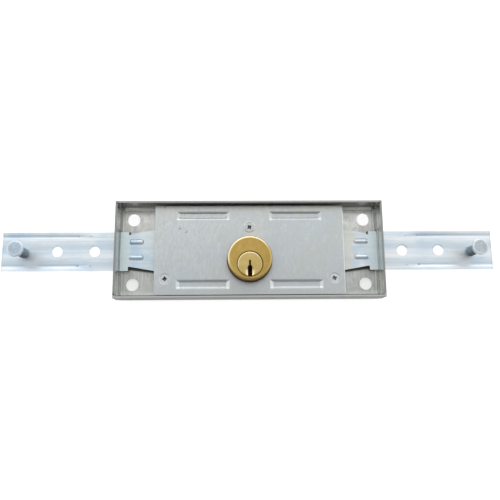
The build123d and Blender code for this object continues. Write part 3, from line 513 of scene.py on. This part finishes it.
CYL = (0.0, -0.0059)
PLUG = (0.0, -0.0095)
PIN = 0.1322
materials = {
    "lock_case": galvanised("case_galvanised", 1.10, "Y", True),
    "cover_plate": cover_finish(),
    "left_slide": bright_zinc("zinc_left", -1.0, 1.0),
    "right_slide": bright_zinc("zinc_right", 1.0, -1.7, 0.6),
    "left_hook_pin": turned("pin_zinc_left", -PIN, -0.0003, [0.45, 0.55, 0.63], [0.56, 0.67, 0.77], [0.72, 0.80, 0.86], 0.26, 0.38, 0.00035, knob=(0.00455, 0.0185)),
    "right_hook_pin": turned("pin_zinc_right", PIN, -0.0003, [0.43, 0.50, 0.53], [0.54, 0.62, 0.65], [0.70, 0.76, 0.78], 0.26, 0.42, 0.00035, knob=(0.00455, 0.0185)),
    "cylinder_body": turned("brass_body", *CYL, [0.46, 0.305, 0.078], [0.53, 0.365, 0.100], [0.60, 0.43, 0.14], 0.25, rim=(0.01168, 0.01636, [0.83, 0.75, 0.53]), barrel=(0.01275, 0.01642, [0.20, 0.105, 0.035]), bore=(*PLUG, 0.00757)),
    "plug": turned("brass_plug", *PLUG, [0.54, 0.41, 0.138], [0.61, 0.47, 0.175], [0.69, 0.55, 0.24], 0.20, keyway=True, rim=(0.00656, 0.01690, [0.90, 0.82, 0.60])),
    "chamber_strip": plain_metal("brass_strip", [0.50, 0.36, 0.13], [0.66, 0.50, 0.21]),
    "cover_screws": plain_metal("screw_zinc", [0.56, 0.58, 0.59], [0.76, 0.78, 0.79], 0.28, 700.0, recess=(0.00940, 0.00984)),
    "cylinder_screws": plain_metal("screw_zinc_inner", [0.52, 0.53, 0.54], [0.72, 0.73, 0.74], 0.28, 700.0),
    "cover_posts": plain_metal("post_steel", [0.42, 0.42, 0.41], [0.60, 0.60, 0.58]),
    "guide_studs": plain_metal("stud_steel", [0.46, 0.46, 0.45], [0.64, 0.64, 0.62]),
    "gear_axle": plain_metal("axle_steel", [0.50, 0.50, 0.50], [0.68, 0.68, 0.67]),
    "bridge_rivets": plain_metal("rivet_steel", [0.48, 0.48, 0.47], [0.66, 0.66, 0.64]),
    "cylinder_bridge": galvanised("bridge_galvanised", 0.95, "X"),
    "reduction_gear": plain_metal("gear_steel", [0.30, 0.295, 0.28], [0.44, 0.43, 0.41], 0.36, 400.0),
    "drive_pinion": plain_metal("pinion_steel", [0.32, 0.315, 0.30], [0.46, 0.45, 0.43], 0.36, 400.0),
    # painted shade: the key pins are brass painted much darker than the driver pins
    "key_pins": plain_metal("key_pin_brass", [0.15, 0.085, 0.026], [0.30, 0.19, 0.07], 0.4, 500.0),
    "driver_pins": plain_metal("driver_pin_brass", [0.56, 0.41, 0.15], [0.74, 0.58, 0.27], 0.2, 500.0),
    "pin_springs": plain_metal("spring_wire", [0.42, 0.43, 0.45], [0.58, 0.59, 0.61], 0.25, 500.0),
    "plug_clip": plain_metal("clip_steel", [0.34, 0.35, 0.37], [0.50, 0.51, 0.53], 0.3, 300.0),
}

materials["key_pins"].bsdf.inputs["Specular Tint"].default_value = (0.55, 0.38, 0.18, 1.0)

# ------------------------------------------------- the frame's own pieces
# Every CAD piece keeps its shape. The pieces listed in EDGE get the small radius that blanked, turned and plated edges
# have on their cut edges, so they catch the light.
EDGE = {
    "lock_case": 0.16, "cover_plate": 0.14, "left_slide": 0.24, "right_slide": 0.24, "cylinder_body": 0.12, "plug": 0.07,
    "cover_screws": 0.07, "cylinder_bridge": 0.12, "left_hook_pin": 0.1, "right_hook_pin": 0.1,
    "cover_posts": 0.12, "guide_studs": 0.1, "reduction_gear": 0.05, "drive_pinion": 0.05, "cylinder_screws": 0.06,
    "bridge_rivets": 0.08,
}


def soften(obj, width_mm, angle=19.5):
    w = obj.modifiers.new("join", "WELD")
    w.merge_threshold = 2e-6
    d = obj.modifiers.new("flats", "DECIMATE")
    d.decimate_type = "DISSOLVE"
    d.angle_limit = math.radians(0.4)
    b = obj.modifiers.new("edges", "BEVEL")
    b.width = width_mm * MM
    b.segments = 2
    b.limit_method = "ANGLE"
    b.angle_limit = math.radians(angle)
    b.miter_outer = "MITER_ARC"
    b.use_clamp_overlap = True
    n = obj.modifiers.new("shade", "WEIGHTED_NORMAL")
    n.keep_sharp = False
    n.weight = 80


for name, obj in nodes.items():
    mat = materials[name].mat
    if not obj.material_slots:
        obj.data.materials.append(mat)
    for s in obj.material_slots:
        s.material = mat
    if name in EDGE:
        soften(obj, EDGE[name])

# ------------------------------------------------------------- surroundings


def mesh_object(name, verts, faces):
    me = bpy.data.meshes.new(name)
    me.from_pydata(verts, [], faces)
    me.update()
    o = bpy.data.objects.new(name, me)
    scene.collection.objects.link(o)
    return o


# The four chamber springs, wound as wire with closed ends.
def coil_spring(x, z, y0, y1, mean_r, wire_r, turns, verts, faces, sides=10, steps=24):
    n = turns * steps
    first = len(verts)
    middle = (y1 - y0) - 6.0 * wire_r
    for i in range(n + 1):
        t = i / steps
        rise = min(t, 1.0) * 2.0 * wire_r + max(0.0, min(t, turns - 1.0) - 1.0) / (turns - 2.0) * middle + max(0.0, t - turns + 1.0) * 2.0 * wire_r
        a = 2.0 * math.pi * t
        out = Vector((math.cos(a), 0.0, math.sin(a)))
        mid = Vector((x, y0 + wire_r + rise, z)) + out * mean_r
        for k in range(sides):
            b = 2.0 * math.pi * k / sides
            verts.append(mid + (out * math.cos(b) + Vector((0.0, math.sin(b), 0.0))) * wire_r)
    for i in range(n):
        for k in range(sides):
            p, q = first + i * sides + k, first + i * sides + (k + 1) % sides
            faces.append((p, q, q + sides, p + sides))
    faces.append(tuple(first + k for k in reversed(range(sides))))
    faces.append(tuple(first + n * sides + k for k in range(sides)))


spring_verts, spring_faces = [], []
for i in range(4):
    coil_spring(0.0, (15.3 - 2.1 * i) * MM, 0.88 * MM, 5.5 * MM, 0.59 * MM, 0.12 * MM, 9, spring_verts, spring_faces)
springs = mesh_object("wound_springs", spring_verts, spring_faces)
for poly in springs.data.polygons:
    poly.use_smooth = True
springs.data.materials.append(materials["pin_springs"].mat)
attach(springs, "case")
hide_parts("pin_springs")

FLOOR_Z = -0.0002
floor = mesh_object("floor", [(-3, -3, FLOOR_Z), (3, -3, FLOOR_Z), (3, 3, FLOOR_Z), (-3, 3, FLOOR_Z)], [(0, 1, 2, 3)])
fm = Mat("floor_white")
fx, fy, _ = fm.xyz()
# painted shadow: the floor's glow is turned down under the case, most under its near half
below = fm.math("MULTIPLY", fm.span(fm.math("ABSOLUTE", fx), 0.0778, 0.0766), fm.span(fm.math("ABSOLUTE", fy), 0.0286, 0.0274))
fm.set(Base_Color=[0.42, 0.42, 0.42], Roughness=0.9, Metallic=0.0, Emission_Color=[1.0, 1.0, 1.0],
       Emission_Strength=fm.math("SUBTRACT", 0.86, fm.math("MULTIPLY", below, fm.span(fy, -0.015, 0.015, 0.30, 0.05))))
fm.bsdf.inputs["Specular IOR Level"].default_value = 0.1
floor.data.materials.append(fm.mat)

# A light tent: brighter round its sides than overhead, weaker on the near
# side, with the dark opening for the camera.
world = bpy.data.worlds.new("studio")
scene.world = world
world.use_nodes = True
wt = world.node_tree
wt.nodes.clear()
wout = wt.nodes.new("ShaderNodeOutputWorld")
bg = wt.nodes.new("ShaderNodeBackground")
wt.links.new(bg.outputs[0], wout.inputs[0])
co = wt.nodes.new("ShaderNodeTexCoord")
norm = wt.nodes.new("ShaderNodeVectorMath")
norm.operation = "NORMALIZE"
wt.links.new(co.outputs["Generated"], norm.inputs[0])


def wmath(op, a, b=None):
    n = wt.nodes.new("ShaderNodeMath")
    n.operation = op
    for i, v in enumerate((a, b)):
        if v is None:
            continue
        if isinstance(v, (int, float)):
            n.inputs[i].default_value = v
        else:
            wt.links.new(v, n.inputs[i])
    return n.outputs[0]


def facing(direction, lo, hi, v0, v1):
    """From v0 to v1 as the cosine to a direction goes from lo to hi."""
    dot = wt.nodes.new("ShaderNodeVectorMath")
    dot.operation = "DOT_PRODUCT"
    wt.links.new(norm.outputs[0], dot.inputs[0])
    dot.inputs[1].default_value = Vector(direction).normalized()
    mr = wt.nodes.new("ShaderNodeMapRange")
    mr.interpolation_type = "SMOOTHSTEP"
    for k, v in zip(("From Min", "From Max", "To Min", "To Max"), (lo, hi, v0, v1)):
        mr.inputs[k].default_value = v
    wt.links.new(dot.outputs["Value"], mr.inputs["Value"])
    return mr.outputs["Result"]


tent = wmath("ADD", facing((0, 0, 1), 0.60, 0.90, 1.22, 0.96), facing((0, 0.94, 0.34), 0.55, 0.95, 0.0, 0.75))
near_side = facing((0, 1, 0), -0.70, 0.05, 0.42, 1.0)
near_low = wmath("MAXIMUM", facing((0, 1, 0), -0.45, 0.0, 0.0, 1.0), facing((0, 0, 1), 0.25, 0.70, 0.16, 1.0))
lens = facing((0, -0.26, 0.966), 0.925, 0.975, 1.0, 0.03)
glow = wmath("MULTIPLY", wmath("MULTIPLY", tent, near_side), wmath("MULTIPLY", lens, near_low))
bg.inputs["Color"].default_value = (1.0, 1.0, 1.0, 1.0)
wt.links.new(glow, bg.inputs["Strength"])

scene.view_settings.view_transform = "Standard"
scene.view_settings.look = "None"

bpy.context.view_layer.update()
